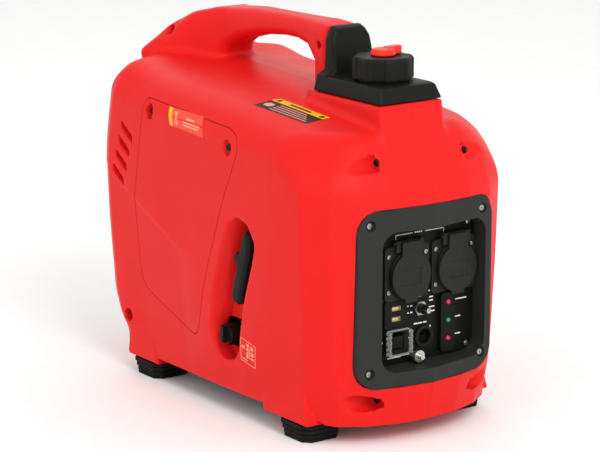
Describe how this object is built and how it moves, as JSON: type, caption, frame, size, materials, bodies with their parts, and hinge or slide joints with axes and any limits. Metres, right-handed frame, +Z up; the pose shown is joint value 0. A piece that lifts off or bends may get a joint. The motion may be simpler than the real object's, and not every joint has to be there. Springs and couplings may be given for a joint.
{
  "type": "portable generator",
  "caption": "Suitcase inverter generator with a carry handle, vented fuel cap, pull-start recess, service cover, recessed panel of capped outlets, switches and lamps, and rubber feet.",
  "frame": {"origin": "on the floor, under the middle of the casing", "axes": "+Z up; -Y is the front with the control panel; -X is the side with the service cover and the starter grip"},
  "size_m": [0.286, 0.498, 0.469],
  "materials": {
    "red_plastic": "moulded, satin",
    "orange_plastic": "moulded, satin",
    "black_plastic": "moulded, fine texture",
    "socket_plastic": "moulded, satin",
    "tank_plastic": "blow moulded",
    "rubber": "moulded rubber",
    "screw_steel": "zinc plated",
    "spring_steel": "tempered strip",
    "brass": "plated and knurled",
    "lamp_plastic": "clear moulded",
    "usb_plastic": "moulded",
    "rope_fibre": "braided",
    "cast_aluminium": "die cast",
    "dark_steel": "heat-proof black",
    "engine_steel": "machined"
  },
  "bodies": {
    "casing": {"left_shell": "red_plastic", "right_shell": "red_plastic", "casing_screws": "screw_steel", "rear_grille": "black_plastic", "base_tray": "black_plastic", "rubber_feet": "rubber", "cap_surround": "black_plastic", "cap_gasket": "rubber", "fuel_tank": "tank_plastic", "fuel_strainer": "tank_plastic", "panel_bezel": "black_plastic", "panel_plate": "black_plastic", "socket_base_left": "socket_plastic", "socket_base_right": "socket_plastic", "lid_pins": "screw_steel", "panel_screws": "screw_steel", "usb_module": "black_plastic", "usb_tongues": "usb_plastic", "toggle_body": "black_plastic", "toggle_nut": "screw_steel", "breaker_body": "black_plastic", "dc_socket": "black_plastic", "ground_stud": "brass", "lamp_strip": "black_plastic", "lamp_lenses": "lamp_plastic", "recoil_housing": "black_plastic", "recoil_spring": "spring_steel", "fuel_valve": "black_plastic", "fan_housing": "black_plastic", "stator": "engine_steel", "ignition_coil": "engine_steel", "crankcase": "cast_aluminium", "cylinder": "cast_aluminium", "cylinder_head": "cast_aluminium", "rocker_cover": "dark_steel", "spark_plug": "engine_steel", "carburettor": "cast_aluminium", "air_filter_box": "black_plastic", "muffler": "dark_steel", "exhaust_pipe": "dark_steel", "engine_mounts": "rubber", "inverter_module": "cast_aluminium"},
    "plug": {"cap_plug": "black_plastic"},
    "cap": {"fuel_cap": "black_plastic"},
    "lever": {"vent_lever": "orange_plastic"},
    "lid_left": {"socket_lid_left": "socket_plastic"},
    "lid_right": {"socket_lid_right": "socket_plastic"},
    "toggle": {"toggle_bat": "screw_steel"},
    "rocker": {"breaker_rocker": "black_plastic"},
    "grip": {"starter_grip": "black_plastic", "starter_rope": "rope_fibre"},
    "pulley": {"recoil_pulley": "black_plastic"},
    "knob": {"valve_knob": "black_plastic"},
    "cover": {"maintenance_cover": "red_plastic", "cover_screws": "screw_steel"},
    "crank": {"crankshaft": "engine_steel", "flywheel_rotor": "engine_steel"},
    "piston_body": {"piston": "cast_aluminium"},
    "dipstick": {"oil_dipstick": "black_plastic"},
    "terminal_nut": {"ground_nut": "brass"}
  },
  "joints": [
    {"name": "cap_lift", "type": "slide", "parent": "casing", "child": "plug", "axis": [0, 0, 1], "range_m": [0, 0.06]},
    {"name": "cap_turn", "type": "hinge", "parent": "plug", "child": "cap", "pos_m": [0, -0.149, 0.42], "axis": [0, 0, 1], "range_deg": [0, 120]},
    {"name": "vent_turn", "type": "hinge", "parent": "cap", "child": "lever", "pos_m": [0, -0.149, 0.44], "axis": [0, 0, 1], "range_deg": [0, 90]},
    {"name": "lid_left_open", "type": "hinge", "parent": "casing", "child": "lid_left", "pos_m": [-0.013, -0.217, 0.231], "axis": [-1, 0, 0], "range_deg": [0, 100], "stiffness_Nm_per_rad": 0.01},
    {"name": "lid_right_open", "type": "hinge", "parent": "casing", "child": "lid_right", "pos_m": [0.056, -0.217, 0.231], "axis": [-1, 0, 0], "range_deg": [0, 100], "stiffness_Nm_per_rad": 0.01},
    {"name": "toggle_tilt", "type": "hinge", "parent": "casing", "child": "toggle", "pos_m": [0.009, -0.212, 0.148], "axis": [1, 0, 0], "range_deg": [-12, 12]},
    {"name": "breaker_rock", "type": "hinge", "parent": "casing", "child": "rocker", "pos_m": [-0.0275, -0.209, 0.1135], "axis": [-1, 0, 0], "range_deg": [0, 15]},
    {"name": "grip_pull", "type": "slide", "parent": "casing", "child": "grip", "axis": [-1, 0, 0], "range_m": [0, 0.6], "stiffness_N_per_m": 25, "deforming": ["starter_rope"]},
    {"name": "recoil_spin", "type": "hinge", "parent": "casing", "child": "pulley", "pos_m": [0, -0.068, 0.15], "axis": [0, -1, 0], "range_deg": [0, 720]},
    {"name": "valve_turn", "type": "hinge", "parent": "casing", "child": "knob", "pos_m": [-0.12, -0.016, 0.096], "axis": [1, 0, 0], "range_deg": [0, 90]},
    {"name": "cover_off", "type": "slide", "parent": "casing", "child": "cover", "axis": [-1, 0, 0], "range_m": [0, 0.05]},
    {"name": "crank_spin", "type": "hinge", "parent": "casing", "child": "crank", "pos_m": [0, 0.025, 0.15], "axis": [0, 1, 0], "continuous": true},
    {"name": "piston_slide", "type": "slide", "parent": "casing", "child": "piston_body", "axis": [0, 0, -1], "range_m": [0, 0.038]},
    {"name": "dipstick_turn", "type": "hinge", "parent": "casing", "child": "dipstick", "pos_m": [-0.06, 0.06, 0.1], "axis": [-1, 0, 0], "range_deg": [0, 360]},
    {"name": "terminal_nut_turn", "type": "hinge", "parent": "casing", "child": "terminal_nut", "pos_m": [-0.003, -0.221, 0.095], "axis": [0, 1, 0], "range_deg": [0, 360]}
  ],
  "couplings": [
    {"joint": "recoil_spin", "follows": "grip_pull", "rad_per_m": 20}
  ]
}
